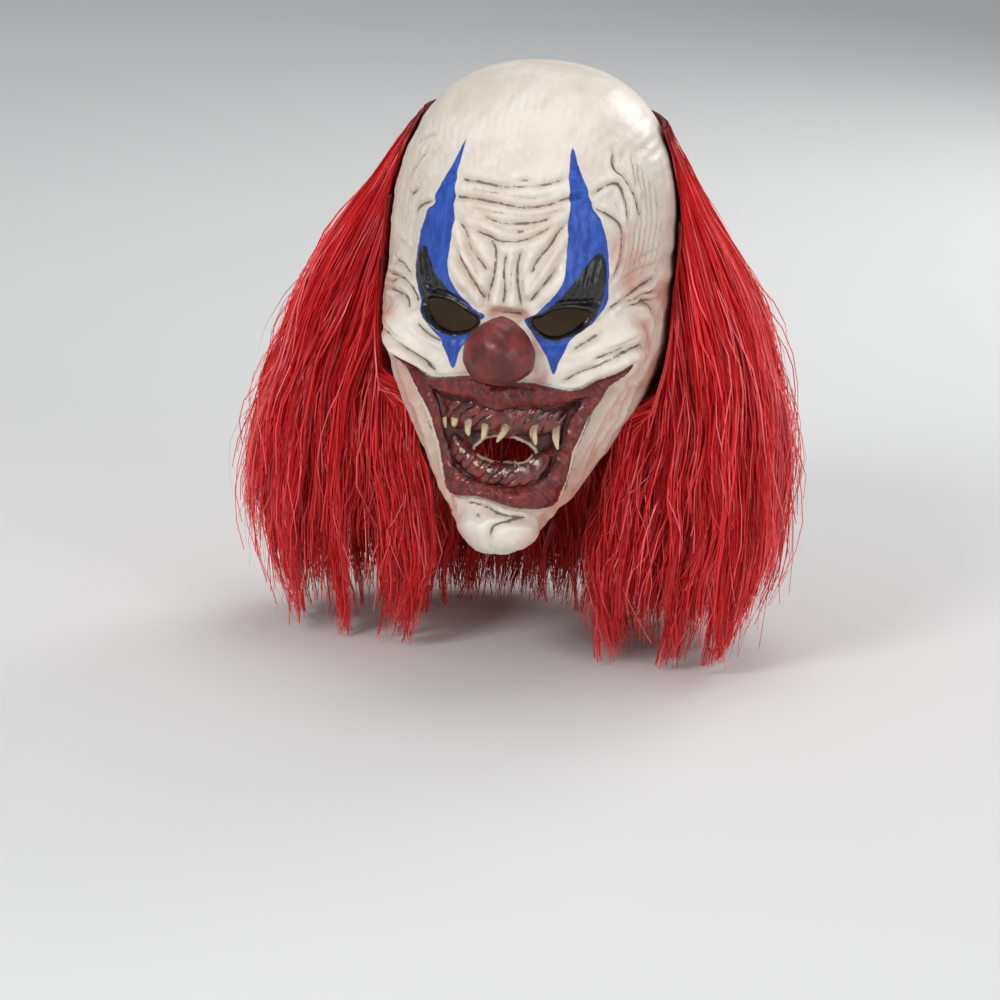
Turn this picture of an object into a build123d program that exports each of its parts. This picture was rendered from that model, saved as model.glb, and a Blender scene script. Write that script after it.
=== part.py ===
from build123d import *
import math
import os

# Full-head latex clown mask, worn pulled down over the head.
# Row frame, mm: +Z up, the face looks along -Y, the wearer's left is +X. The origin is
# the middle of the wearer's head at eye level.

# --- driving dimensions -------------------------------------------------------------
WALL = 3.0                # cast latex
HEAD_RX = 82.0            # half width of the cranium
HEAD_RY = 103.0           # half length of the cranium, brow to back
HEAD_RZ = 104.0           # cranium height above its widest level
HEAD_Y = 8.0              # the cranium sits a little behind the origin
HEAD_Z = 26.0             # level of its widest section
DOME_POWER = 2.45         # a little fuller than an ellipse, whose power is 2

# Horizontal sections of the face and jaw below the widest level: z, centre y, rx, ry
FACE_SECTIONS = [
    (-12.0, 6.0, 82.0, 103.0),
    (-45.0, 0.0, 75.0, 98.0),
    (-80.0, -8.0, 59.0, 90.0),
    (-110.0, -24.0, 42.0, 76.0),
    (-140.0, -52.0, 24.0, 46.0),
]

CHEEK = (46.0, -54.0, -16.0)      # centre of an apple cheek
CHEEK_R = (30.0, 33.0, 24.0)
CHIN = (2.0, -84.0, -118.0)
CHIN_R = (22.0, 18.5, 15.5)

# Lower edge of the latex seen from the side: y, z from the chin to the nape
LOWER_EDGE = [(-112, -134), (-72, -133), (-38, -108), (0, -84), (50, -74), (125, -78)]

EYE_X = 32.0
EYE_Z = -1.0
EYE_W = 32.0
EYE_H = 18.0
EYE_TILT = 12.0           # the outer corner is the higher one

NOSE = (0.0, -112.0, -12.0)
NOSE_R = (20.0, 17.0, 19.0)
NOSE_WALL = 2.0

MOUTH_TOP_Z = -45.0
MOUTH_MID_Z = -68.0
MOUTH_LOW_Z = -94.0
MOUTH_TOP_HALF = 40.0
MOUTH_MID_HALF = 37.0
MOUTH_LOW_HALF = 27.0
TRAY_RIM = 3.0            # wall of the mouth tray
TRAY_DEPTH = 9.0          # from the outside of the face to the tray's floor
TRAY_GAP = 0.2            # glue line between the tray and the skin
BREATH_W = 34.0
BREATH_H = 15.0
BREATH_Z = -75.5

GUM_R = 5.0
GUM_Y = -90.0             # foremost point of a gum ridge's centre line
GUM_BOW = 14.5            # how far its ends lie behind that
UPPER_GUM = (-53.0, 35.0)         # z, reach to either side
LOWER_GUM = (-90.0, 25.0)
TOOTH_R = 2.7
UPPER_TOOTH_L = 17.0
LOWER_TOOTH_L = 11.0
UPPER_TEETH_X = [-31.0, -25.0, -15.5, -7.0, 3.5, 19.5, 30.5]
LOWER_TEETH_X = [-19.5, -11.0, -3.5, 5.0, 14.0, 21.0]
TOOTH_SINK = 5.0          # how far a peg is pushed into its gum
TOOTH_LEAN = 1.5          # the pegs stand this far in front of the ridge's centre line

TAPE_T = 1.4              # stitched head of a weft
TAPE_H = 9.0
TAPE_GAP = 0.2            # glue line under a tape
DOME_SWELL = 0.4          # the smooth dome stands this far outside its drawn sections
TAPE_LEVELS = {"upper": 95.0, "middle": 46.0, "lower": 12.0}
TAPE_FRONT_Y = 2.0        # the wefts stop at the temples

HAIR_BASE_Z = -215.0
HAIR_GAP = 1.5            # between neighbouring tiers
ROOT_H = 3.0              # a tier's root stands this far above its hinge line
MITRE = 12.0              # side and back curtains part where y - |x| is this
MITRE_GAP = 1.0
HAIR_PLAN_RX = 163.0      # plan outline of all the hair
HAIR_PLAN_RY = 134.0

# Lines from root to tip between the hair's tiers, outermost first.
# Side curtains: x, z. Back curtain: y, z.
SIDE_LINES = [
    [(69.5, 105), (81.5, 85), (93, 62), (112, 34), (134, -8), (152, -69), (160, -116),
     (157, -160), (143, -200)],
    [(75, 93), (80.5, 78), (89, 56), (100, 30), (113, -12), (124, -69), (129, -116),
     (128, -160), (122, -208)],
    [(84.3, 46), (86, 36), (89.5, 20), (95, -12), (101, -69), (102, -116), (100, -160),
     (94, -213)],
    [(85, 12), (85.5, 0), (84.5, -16), (79, -45), (69, -78), (60, -110), (54, -138),
     (53, -168), (59, -211)],
]
BACK_LINES = [
    [(93, 106), (105, 91), (118, 66), (129, 36), (138, -8), (142, -69), (143, -116),
     (139, -160), (128, -200)],
    [(101, 94), (107, 82), (115, 60), (122, 34), (129, -8), (131, -69), (130, -116),
     (126, -160), (119, -208)],
    [(113.2, 46), (116, 34), (119.5, 14), (121.5, -12), (120, -69), (116, -116),
     (111, -160), (104, -213)],
    [(115.6, 12), (115.6, 0), (113.6, -16), (104, -47), (94, -78), (88, -110), (84, -150),
     (88, -211)],
]
# Front edge of the side curtains seen from the side: y, z
HAIR_FRONT = [(14, 112), (4, 80), (-8, 40), (-18, -12), (-28, -69), (-36, -116),
              (-36, -160), (-24, -216)]
TIERS = ["upper", "middle", "lower"]

os.makedirs("parts", exist_ok=True)


def save(piece, name):
    """Label a finished piece and write it under its own name."""
    piece.label = name
    export_step(piece, f"parts/{name}.step")


def ellipsoid(centre, radii):
    """A solid ellipsoid, used for bulges in the cast latex."""
    with BuildPart() as ball:
        Sphere(1.0)
        scale(by=radii)
    return Pos(*centre) * ball.part


def face_form(inset):
    """The face and jaw as a solid, drawn in by inset all round."""
    with BuildPart() as face:
        with BuildSketch(Plane.XY.offset(HEAD_Z)):
            with Locations((0, HEAD_Y)):
                Ellipse(HEAD_RX - inset, HEAD_RY * (1 - inset / HEAD_RX))
        for z, y, rx, ry in FACE_SECTIONS:
            with BuildSketch(Plane.XY.offset(z)):
                with Locations((0, y)):
                    Ellipse(rx - inset, ry - inset)
        loft()
    return face.part


def dome_width(height):
    """The dome's width at a height above its widest level, as a share of the widest."""
    return (1 - (height / HEAD_RZ) ** DOME_POWER) ** (1 / DOME_POWER)


def dome_shell():
    """The top of the latex above the head's widest level."""
    levels = [0, 0.3, 0.6, 0.82, 0.95]
    rim = [(dome_width(u * HEAD_RZ), u) for u in levels]
    thin = 1 - WALL / HEAD_RX
    lining = [(r * thin, u * thin) for r, u in rim]
    with BuildPart() as dome:
        with BuildSketch(Plane.XZ):
            with BuildLine():
                Spline(*rim, (0, 1), tangents=((0, 1), (-1, 0)))
                Line((0, 1), (0, thin))
                Spline(*lining, (0, thin), tangents=((0, 1), (-1, 0)))
                Line(rim[0], lining[0])
            make_face()
        revolve(axis=Axis.Z)
        scale(by=(HEAD_RX, HEAD_RY, HEAD_RZ))
    return Pos(0, HEAD_Y, HEAD_Z) * dome.part


def slab_in_front(sketch, from_y, to_y):
    """A face-on outline in x and z, extruded between two depths."""
    return extrude(Plane.XZ.offset(-from_y) * sketch, from_y - to_y)


def mouth_outline(grow):
    """The gaping mouth, face on: wide under the nose, narrower at the lower lip."""
    with BuildSketch(mode=Mode.PRIVATE) as outline:
        with BuildLine():
            Spline(
                (-MOUTH_TOP_HALF - grow, MOUTH_TOP_Z + grow - 3),
                (-MOUTH_TOP_HALF / 2, MOUTH_TOP_Z + grow),
                (0, MOUTH_TOP_Z + grow - 1),
                (MOUTH_TOP_HALF / 2, MOUTH_TOP_Z + grow),
                (MOUTH_TOP_HALF + grow, MOUTH_TOP_Z + grow - 3),
                (MOUTH_MID_HALF + grow, MOUTH_MID_Z),
                (MOUTH_LOW_HALF + grow, MOUTH_LOW_Z - grow + 4),
                (0, MOUTH_LOW_Z - grow),
                (-MOUTH_LOW_HALF - grow, MOUTH_LOW_Z - grow + 4),
                (-MOUTH_MID_HALF - grow, MOUTH_MID_Z),
                periodic=True,
            )
        make_face()
    return outline.sketch


# --- mask skin ------------------------------------------------------------------------
# One slush-cast latex skin over the whole head, open at the neck, with cut-out eyes and
# an open mouth. The bulges of brow, cheeks and chin are cast in it.
face_outside = face_form(0)

with BuildPart() as latex_skin:
    add(face_outside)
    for side in (-1, 1):
        add(ellipsoid((side * CHEEK[0], CHEEK[1], CHEEK[2]), CHEEK_R))
    add(ellipsoid(CHIN, CHIN_R))
    add(face_form(WALL), mode=Mode.SUBTRACT)
    # lower edge, rising from the chin along the jaw to the nape
    with BuildSketch(Plane.YZ):
        with BuildLine():
            edge = Spline(*LOWER_EDGE)
            Polyline(edge @ 1, (LOWER_EDGE[-1][0], -200), (LOWER_EDGE[0][0], -200), edge @ 0)
        make_face()
    extrude(amount=HEAD_RX * 2, both=True, mode=Mode.SUBTRACT)
    # eye holes
    for side in (-1, 1):
        with BuildSketch(Plane.XZ.offset(-HEAD_Y)):
            with Locations(Location((side * EYE_X, EYE_Z), side * EYE_TILT)):
                Ellipse(EYE_W / 2, EYE_H / 2)
        extrude(amount=HEAD_RY * 2, mode=Mode.SUBTRACT)
    # mouth
    add(slab_in_front(mouth_outline(0), -40, -150), mode=Mode.SUBTRACT)
    add(dome_shell())
save(latex_skin.part, "latex_skin")

# --- nose bulb ------------------------------------------------------------------------
# A hollow latex ball bonded over the bridge, open where it sits on the skin.
with BuildPart() as nose_bulb:
    add(ellipsoid(NOSE, NOSE_R))
    add(ellipsoid(NOSE, tuple(r - NOSE_WALL for r in NOSE_R)), mode=Mode.SUBTRACT)
    add(face_outside, mode=Mode.SUBTRACT)
save(nose_bulb.part, "nose_bulb")

# --- teeth ----------------------------------------------------------------------------


def gum_point(x, gum):
    """A point on a gum ridge's centre line, which bows forward along a circle."""
    z, reach = gum
    radius = (reach**2 + GUM_BOW**2) / (2 * GUM_BOW)
    return (x, GUM_Y + radius - math.sqrt(radius**2 - x**2), z)


def tooth(x, gum, length, direction):
    """A slim hand-cast peg with a blunt tip. It points down for -1 and up for 1."""
    with BuildPart() as peg:
        with BuildSketch(Plane.XZ):
            with BuildLine():
                Line((0, 0), (TOOTH_R, 0))
                Spline(
                    (TOOTH_R, 0),
                    (TOOTH_R * 1.08, length * 0.35),
                    (TOOTH_R * 0.75, length * 0.75),
                    (0, length),
                    tangents=((0, 1), (-1, 0)),
                )
                Line((0, length), (0, 0))
            make_face()
        revolve(axis=Axis.Z)
    px, py, pz = gum_point(x, gum)
    root = (px, py - TOOTH_LEAN, pz + direction * (GUM_R - TOOTH_SINK))
    turn = 0 if direction > 0 else 180
    return Location(root, (turn, 0, 0)) * peg.part


teeth = {}
for number, x in enumerate(UPPER_TEETH_X, 1):
    teeth[f"upper_tooth_{number}"] = tooth(x, UPPER_GUM, UPPER_TOOTH_L, -1)
for number, x in enumerate(LOWER_TEETH_X, 1):
    teeth[f"lower_tooth_{number}"] = tooth(x, LOWER_GUM, LOWER_TOOTH_L, 1)
for name, peg in teeth.items():
    save(peg, name)

# --- mouth tray -----------------------------------------------------------------------
# The inside of the mouth: a shallow latex tray glued behind the lips, with two gum
# ridges, sockets for the pegs and a hole to breathe through.
floor_form = face_form(TRAY_DEPTH)
behind_form = face_form(TRAY_DEPTH + TRAY_RIM)
rim_form = face_form(WALL + TRAY_GAP)
well = slab_in_front(mouth_outline(TRAY_RIM), -40, -150) - floor_form

with BuildPart() as mouth_tray:
    add(slab_in_front(mouth_outline(2 * TRAY_RIM), -40, -150))
    add(rim_form, mode=Mode.INTERSECT)
    add(behind_form, mode=Mode.SUBTRACT)
    add(well, mode=Mode.SUBTRACT)
    for gum in (UPPER_GUM, LOWER_GUM):
        with BuildLine() as ridge:
            ThreePointArc(*(gum_point(x, gum) for x in (-gum[1], 0, gum[1])))
        with BuildSketch(Plane(origin=ridge.line @ 0, z_dir=ridge.line % 0)):
            Circle(GUM_R)
        sweep(path=ridge.line)
    with BuildSketch(Plane.XZ.offset(40)):
        with Locations((0, BREATH_Z)):
            Ellipse(BREATH_W / 2, BREATH_H / 2)
    extrude(amount=110, mode=Mode.SUBTRACT)
    for peg in teeth.values():
        add(peg, mode=Mode.SUBTRACT)
save(mouth_tray.part, "mouth_tray")

# --- weft tapes -----------------------------------------------------------------------
# Each row of hair is a machine-stitched tape glued round the head from temple to temple.


def head_section(z, proud):
    """The dome's horizontal section at a level, standing proud of the latex."""
    width = dome_width(z - HEAD_Z)
    with BuildSketch(Plane.XY.offset(z), mode=Mode.PRIVATE) as section:
        with Locations((0, HEAD_Y)):
            Ellipse(HEAD_RX * width + proud, HEAD_RY * width + proud)
    return section.sketch


def head_grown(low, high, proud):
    """The head between two levels as a solid, standing proud of the latex."""
    if low > HEAD_Z:
        swell = proud + DOME_SWELL
        return loft([head_section(low, swell), head_section(high, swell)])
    with BuildPart() as band:
        add(face_form(-proud))
        with Locations((0, 0, low)):
            Box(4 * HEAD_RX, 4 * HEAD_RX, high - low,
                align=(Align.CENTER, Align.CENTER, Align.MIN), mode=Mode.INTERSECT)
    return band.part


for name, level in TAPE_LEVELS.items():
    low, high = level - TAPE_H / 2, level + TAPE_H / 2
    with BuildPart() as tape:
        add(head_grown(low, high, TAPE_GAP + TAPE_T))
        add(head_grown(low, high, TAPE_GAP), mode=Mode.SUBTRACT)
        with Locations((0, TAPE_FRONT_Y, level)):
            Box(4 * HEAD_RX, 4 * HEAD_RX, 2 * TAPE_H,
                align=(Align.CENTER, Align.MAX, Align.CENTER), mode=Mode.SUBTRACT)
    save(tape.part, f"weft_tape_{name}")

# --- hair -----------------------------------------------------------------------------


def tier_outline(lines, tier):
    """One tier, between two root-to-tip lines and cut off level just above its root."""
    outer, inner = lines[tier], lines[tier + 1]
    gap = HAIR_GAP if tier else 0
    root, level = inner[0]
    top = level + ROOT_H if tier else outer[0][1]
    with BuildSketch(mode=Mode.PRIVATE) as outline:
        with BuildLine():
            out = Spline(*((across - gap, z) for across, z in outer))
            back = Spline(*inner[::-1])
            Line(out @ 1, back @ 0)
            if tier:
                Polyline(back @ 1, (root, top), out @ 0)
            else:
                Line(back @ 1, out @ 0)
        make_face()
        with Locations((root, top)):
            Rectangle(HEAD_RX * 2, HEAD_RX * 2, align=(Align.CENTER, Align.MIN),
                      mode=Mode.SUBTRACT)
    return outline.sketch


with BuildPart() as plan_limit:
    with BuildSketch(Plane.XY.offset(HAIR_BASE_Z)):
        with Locations((0, HEAD_Y)):
            Ellipse(HAIR_PLAN_RX, HAIR_PLAN_RY)
    extrude(amount=400)

with BuildPart() as behind_face:
    with BuildSketch(Plane.YZ):
        with BuildLine():
            front = Spline(*HAIR_FRONT)
            Polyline(front @ 1, (200, HAIR_FRONT[-1][1]), (200, HAIR_FRONT[0][1]), front @ 0)
        make_face()
    extrude(amount=200, both=True)

with BuildPart() as front_silhouette:
    outline = [(-x, z) for x, z in SIDE_LINES[0]]
    with BuildSketch(Plane.XZ.offset(-200)):
        with BuildLine():
            right = Spline(*SIDE_LINES[0])
            left = Spline(*outline)
            Line(right @ 0, left @ 0)
            Line(right @ 1, left @ 1)
        make_face()
    extrude(amount=400)


def back_wedge(gap):
    """The space behind the two mitre planes, where the back curtains hang."""
    reach = 300.0
    with BuildPart() as wedge:
        with BuildSketch(Plane.XY.offset(HAIR_BASE_Z - 10)):
            with BuildLine():
                Polyline((0, MITRE + gap), (reach, MITRE + gap + reach),
                         (-reach, MITRE + gap + reach), (0, MITRE + gap))
            make_face()
        extrude(amount=400)
    return wedge.part


for tier, level in enumerate(TIERS):
    side_piece = slab_in_front(tier_outline(SIDE_LINES, tier), 200, -200)
    with BuildPart() as left:
        add(side_piece)
        add(plan_limit.part, mode=Mode.INTERSECT)
        add(behind_face.part, mode=Mode.INTERSECT)
        add(back_wedge(-MITRE_GAP), mode=Mode.SUBTRACT)
    save(left.part, f"hair_left_{level}")
    with BuildPart() as right:
        add(mirror(left.part, about=Plane.YZ))
    save(right.part, f"hair_right_{level}")
    with BuildPart() as back:
        with BuildSketch(Plane.YZ):
            add(tier_outline(BACK_LINES, tier))
        extrude(amount=200, both=True)
        add(plan_limit.part, mode=Mode.INTERSECT)
        add(front_silhouette.part, mode=Mode.INTERSECT)
        add(back_wedge(MITRE_GAP), mode=Mode.INTERSECT)
    save(back.part, f"hair_back_{level}")
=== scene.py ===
import math

import bmesh
import bpy
import numpy as np
from mathutils import Matrix, Vector


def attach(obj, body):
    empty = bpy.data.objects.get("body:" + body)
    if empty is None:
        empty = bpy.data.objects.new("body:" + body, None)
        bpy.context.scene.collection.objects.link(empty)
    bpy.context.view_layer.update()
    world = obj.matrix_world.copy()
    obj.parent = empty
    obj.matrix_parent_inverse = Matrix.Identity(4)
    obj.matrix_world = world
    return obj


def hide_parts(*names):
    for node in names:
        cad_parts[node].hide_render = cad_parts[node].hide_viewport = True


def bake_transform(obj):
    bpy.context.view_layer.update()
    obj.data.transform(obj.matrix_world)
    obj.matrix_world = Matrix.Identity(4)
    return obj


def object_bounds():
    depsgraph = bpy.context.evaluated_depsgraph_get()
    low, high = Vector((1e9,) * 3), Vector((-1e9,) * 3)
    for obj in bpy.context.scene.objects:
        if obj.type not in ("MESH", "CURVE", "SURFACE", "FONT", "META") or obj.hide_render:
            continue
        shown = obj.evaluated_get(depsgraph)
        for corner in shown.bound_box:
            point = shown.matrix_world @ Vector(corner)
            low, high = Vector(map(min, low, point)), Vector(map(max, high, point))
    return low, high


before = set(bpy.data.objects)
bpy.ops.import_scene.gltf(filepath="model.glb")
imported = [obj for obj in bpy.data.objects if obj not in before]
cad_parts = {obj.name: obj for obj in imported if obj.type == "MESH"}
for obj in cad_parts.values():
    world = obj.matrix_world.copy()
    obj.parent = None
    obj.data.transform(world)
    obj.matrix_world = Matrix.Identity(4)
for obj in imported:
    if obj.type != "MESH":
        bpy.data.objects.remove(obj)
cad_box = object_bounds()

# ---------------------------------------------------------------- the latex skin
# One hollow casting of slush-moulded latex that covers the whole head, pulled on from below.
# Its face, folds and lips are cast in; the eyes and the mouth are cut out, and all of it is
# painted by hand: cream base, blue diamonds, black eye patches, red lips and a brown wash.

MM = 0.001                  # lengths below are in millimetres
DOME_Z, DOME_HEIGHT, DOME_POWER = 26.0, 103.6, 2.45
HEAD_Y = 8.0                # the middle of the cranium
SECTION_POWER = 2.15        # a plan section is a little squarer than an ellipse
LATEX = 2.6                 # thickness of the casting
CHEEK_AT, CHEEK_SIZE = (46.0, -54.0, -16.0), (30.0, 33.0, 24.0)
CHIN_AT, CHIN_SIZE = (2.0, -84.0, -118.0), (22.0, 18.5, 15.5)


def smooth_curve(knots):
    """A smooth function through (position, value) knots that never overshoots them."""
    at, value = np.array(sorted(knots), float).T
    step = np.diff(at)
    slope = np.diff(value) / step
    product = slope[:-1] * slope[1:]
    total = slope[:-1] + slope[1:]
    mean = 2 * product / np.where(np.abs(total) < 1e-9, 1, total)
    tangent = np.concatenate([slope[:1], np.where(product > 0, mean, 0), slope[-1:]])

    def curve(where):
        where = np.clip(where, at[0], at[-1])
        i = np.clip(np.searchsorted(at, where) - 1, 0, len(at) - 2)
        u = (where - at[i]) / step[i]
        rise = u * u * (3 - 2 * u)
        return (value[i] * (1 - rise) + value[i + 1] * rise
                + step[i] * u * (1 - u) * (tangent[i] * (1 - u) - tangent[i + 1] * u))
    return curve


half_width = smooth_curve([(26, 82), (-12, 82), (-28, 80.5), (-45, 76), (-60, 69), (-77, 59),
                           (-100, 44), (-123, 28), (-140, 18)])
front_y = smooth_curve([(26, -95), (8, -94), (-30, -97), (-50, -99), (-95, -98), (-110, -96),
                        (-124, -98), (-134, -90)])
back_y = smooth_curve([(26, 111), (-12, 109), (-45, 98), (-80, 84), (-140, 60)])
middle_y = smooth_curve([(26, 8), (-45, 0), (-80, -10), (-110, -28), (-140, -52)])
lower_edge = smooth_curve([(0, -134), (20, -134), (35, -131), (50, -123), (65, -110), (80, -96),
                           (100, -84), (130, -76), (180, -78)])


def dome_share(z):
    """How wide the dome still is at a height, as a share of its widest section."""
    up = np.clip((z - DOME_Z) / DOME_HEIGHT, 0, 1)
    return (1 - up ** DOME_POWER) ** (1 / DOME_POWER)


def section(z):
    """Half width, middle, reach to the front and reach to the back of the head at a height."""
    w = dome_share(z)
    mid = middle_y(z)
    return half_width(z) * w, mid, (mid - front_y(z)) * w, (back_y(z) - mid) * w


def round_the_head(turn, z):
    """The bare head's surface at a plan angle from the nose (degrees) and a height."""
    s, c = np.sin(np.radians(turn)), np.cos(np.radians(turn))
    n = (np.abs(s) ** SECTION_POWER + np.abs(c) ** SECTION_POWER) ** (1 / SECTION_POWER)
    half, mid, to_front, to_back = section(z)
    return np.stack([half * s / n, mid - np.where(c > 0, to_front, to_back) * c / n, z + 0 * s], -1)


def face_surface(x, z):
    """The bare head's surface in front of a point given by its x and z."""
    half, mid, to_front, _ = section(z)
    q = 1 - np.minimum(np.abs(x / half), 1) ** SECTION_POWER
    return np.stack([x, mid - to_front * q ** (1 / SECTION_POWER), z], -1)


fan = np.radians(np.linspace(0, 90, 200))
fan_n = (np.sin(fan) ** SECTION_POWER + np.cos(fan) ** SECTION_POWER) ** (1 / SECTION_POWER)
fan_x, fan_y = np.sin(fan) / fan_n, 1.2 * np.cos(fan) / fan_n
fan_run = np.concatenate([[0], np.cumsum(np.hypot(np.diff(fan_x), np.diff(fan_y)))])


def unroll(points):
    """Flat face points with x turned into the distance round the head, as the latex lies."""
    points = np.asarray(points, float)
    half = section(points[:, 1])[0]
    share = np.clip(points[:, 0] / half, -1, 1)
    across = half * np.sign(share) * np.interp(np.abs(share), fan_x, fan_run)
    return np.stack([across, points[:, 1]], 1)


def spline(points, closed=False, steps=5):
    """A smooth line through flat points."""
    p = np.array(points, float)
    if closed:
        p = np.vstack([p[-1:], p, p[:2]])
    else:
        p = np.vstack([2 * p[:1] - p[1:2], p, 2 * p[-1:] - p[-2:-1]])
    u = np.arange(steps)[:, None] / steps
    runs = [0.5 * (2 * b + (c - a) * u + (2 * a - 5 * b + 4 * c - d) * u ** 2
                   + (3 * b - a - 3 * c + d) * u ** 3) for a, b, c, d in zip(p, p[1:], p[2:], p[3:])]
    return np.vstack(runs + ([] if closed else [p[-2:-1]]))


def nearest_on(line, points, closed=False):
    """Distance of each flat point to a line, the nearest place on it, and whether it is inside."""
    best = np.full(len(points), 1e9)
    place = np.zeros((len(points), 2))
    inside = np.zeros(len(points), bool)
    ends = np.vstack([line[1:], line[:1]]) if closed else line[1:]
    for a, b in zip(line, ends):
        along = b - a
        t = np.clip((points - a) @ along / max(along @ along, 1e-9), 0, 1)
        foot = a + t[:, None] * along
        d = np.linalg.norm(points - foot, axis=1)
        nearer = d < best
        best[nearer] = d[nearer]
        place[nearer] = foot[nearer]
        if closed and a[1] != b[1]:
            crosses = (a[1] > points[:, 1]) != (b[1] > points[:, 1])
            inside ^= crosses & (points[:, 0] < a[0] + (points[:, 1] - a[1]) * along[0] / along[1])
    return best, place, inside


def depth_in(outline, points):
    """How deep each point lies inside a closed outline; negative outside."""
    d, _, inside = nearest_on(spline(outline, closed=True), points, closed=True)
    return np.where(inside, d, -d)


def ease(value, low, high):
    """0 below low and 1 above high, with a smooth change between them."""
    u = np.clip((value - low) / (high - low), 0, 1)
    return u * u * (3 - 2 * u)


def bump_at(p, x, z, wide, tall, height):
    """A soft swelling of the face, centred on x and z."""
    return height * np.exp(-((p[:, 0] - x) / wide) ** 2 - ((p[:, 1] - z) / tall) ** 2)


def reach(place, normal, centre, size):
    """How far out along its normal each point of the head lies below a rounded cushion."""
    a = normal / size
    b = (place - centre) / np.array(size)
    aa, ab, bb = (a * a).sum(-1), (a * b).sum(-1), (b * b).sum(-1) - 1
    inner = ab * ab - aa * bb
    return (-ab + np.sign(inner) * np.sqrt(np.abs(inner))) / aa


def merge_up(a, b, soft):
    """The higher of two heights, with a fillet where they meet."""
    h = np.clip(0.5 + 0.5 * (a - b) / soft, 0, 1)
    return b + (a - b) * h + soft * h * (1 - h)


def lumps(points, size, seed):
    """Soft random unevenness, about one unit high, with lumps of the given size."""
    source = np.random.default_rng(seed)
    total = np.zeros(len(points))
    for _ in range(10):
        way = source.normal(size=points.shape[1])
        way *= 2 * math.pi / (size * np.linalg.norm(way)) * source.uniform(0.6, 1.5)
        total += np.sin(points @ way + source.uniform(0, 6.3))
    return total / 3.2


# Outlines on the face as (x, z), the wearer's right side negative.
EYE_RIGHT = [(-47, 5), (-42, -4), (-35, -8), (-27, -8), (-20, -5), (-16.5, 0), (-25, 3.5), (-32, 7),
             (-40, 8)]
EYE_LEFT = [(15, 2.5), (19, -3), (26, -6), (33, -5), (40, -1), (45.5, 6), (39, 9), (32, 9.5), (26, 8),
            (20, 4.5)]
MOUTH = [(-39, -43), (-30, -44.5), (-16, -45), (-2, -49), (13, -46), (30, -45), (43, -41.5), (39, -52),
         (35, -66), (31, -80), (26, -88), (14, -92), (0, -92), (-12, -90), (-22, -86), (-28, -76),
         (-32, -62), (-35, -51)]
LIPS = [(-69, -23), (-58, -30), (-44, -36), (-29, -33.5), (-15, -31), (0, -33), (15, -32), (27, -34),
        (42, -36), (54, -29), (63, -22), (59, -33), (48, -52), (40, -73), (36, -94), (31, -105),
        (21, -107), (6, -104), (-8, -100), (-21, -102.5), (-28, -99), (-31, -80), (-39, -58), (-53, -40)]
BLUE_RIGHT = [(-32, 96), (-38, 82), (-46, 65), (-46, 60), (-51.5, 53), (-55, 38), (-56, 26), (-54, 12),
              (-49, 0), (-42, -8), (-35, -16), (-28, -29), (-25, -20), (-21, -12), (-16, -2), (-12, 3),
              (-21, 7), (-29, 16), (-33, 28), (-34, 42), (-33, 54), (-34, 68), (-34, 82)]
BLUE_LEFT = [(27.5, 97), (32, 88), (37, 78), (42, 66), (48, 56), (52, 42), (53, 26), (53, 12), (48, 2),
             (41, -3), (35, -10), (31, -18), (28, -27), (24, -18), (19, -10), (14, -3), (10.5, 3),
             (17, 7), (24, 16), (29, 27), (30.5, 42), (30, 56), (30, 68), (28, 82)]
PATCH_RIGHT = [(-54, 33), (-49, 35), (-44, 28), (-38, 20), (-30, 12), (-22, 6), (-14, 2), (-20, -4),
               (-30, -8), (-40, -7), (-48, 2), (-54, 14)]
PATCH_LEFT = [(44, 38), (47.5, 41), (51, 36), (51.5, 24), (50, 12), (46, 3), (38, -5), (28, -7), (18, -4),
              (12.5, 3), (20, 7), (27, 14), (34, 25), (40, 33)]

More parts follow.
